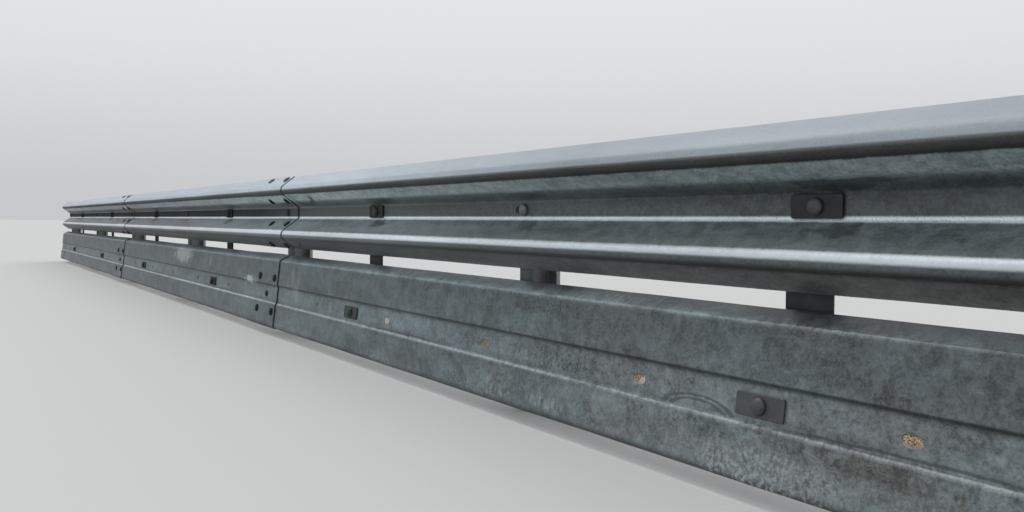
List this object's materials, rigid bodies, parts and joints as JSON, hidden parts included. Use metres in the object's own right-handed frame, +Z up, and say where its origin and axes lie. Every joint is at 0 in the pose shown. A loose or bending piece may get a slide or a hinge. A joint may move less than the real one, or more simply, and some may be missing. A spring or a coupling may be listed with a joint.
{
  "type": "highway guardrail section",
  "caption": "Straight galvanised steel guardrail section: lapped W-shaped rail on lipped C posts, with a folded underrun board hung below it on brackets.",
  "frame": {"origin": "foot of the middle post at ground level, on the mid-plane of its front flange", "axes": "+X along the rail, +Z up, -Y is the road side"},
  "size_m": [12.36, 0.2047, 0.7032],
  "materials": {
    "rail_steel": "weathered hot-dip galvanised",
    "board_steel": "matt grey galvanised, streaked",
    "post_steel": "galvanised, dusty",
    "bracket_steel": "galvanised",
    "washer_steel": "dull dark galvanised"
  },
  "bodies": {
    "root": {"rail_left": "rail_steel", "rail_middle": "rail_steel", "rail_right": "rail_steel", "board_left": "board_steel", "board_middle": "board_steel", "board_right": "board_steel", "post_1": "post_steel", "post_2": "post_steel", "post_3": "post_steel", "post_4": "post_steel", "post_5": "post_steel", "post_6": "post_steel", "post_7": "post_steel", "bracket_1": "bracket_steel", "bracket_2": "bracket_steel", "bracket_3": "bracket_steel", "bracket_4": "bracket_steel", "bracket_5": "bracket_steel", "bracket_6": "bracket_steel", "rail_washer_1": "washer_steel", "rail_washer_2": "washer_steel", "rail_washer_3": "washer_steel", "rail_washer_4": "washer_steel", "rail_washer_5": "washer_steel", "rail_washer_6": "washer_steel", "board_washer_1": "washer_steel", "board_washer_2": "washer_steel", "board_washer_3": "washer_steel", "board_washer_4": "washer_steel", "board_washer_5": "washer_steel", "board_washer_6": "washer_steel"}
  },
  "joints": []
}
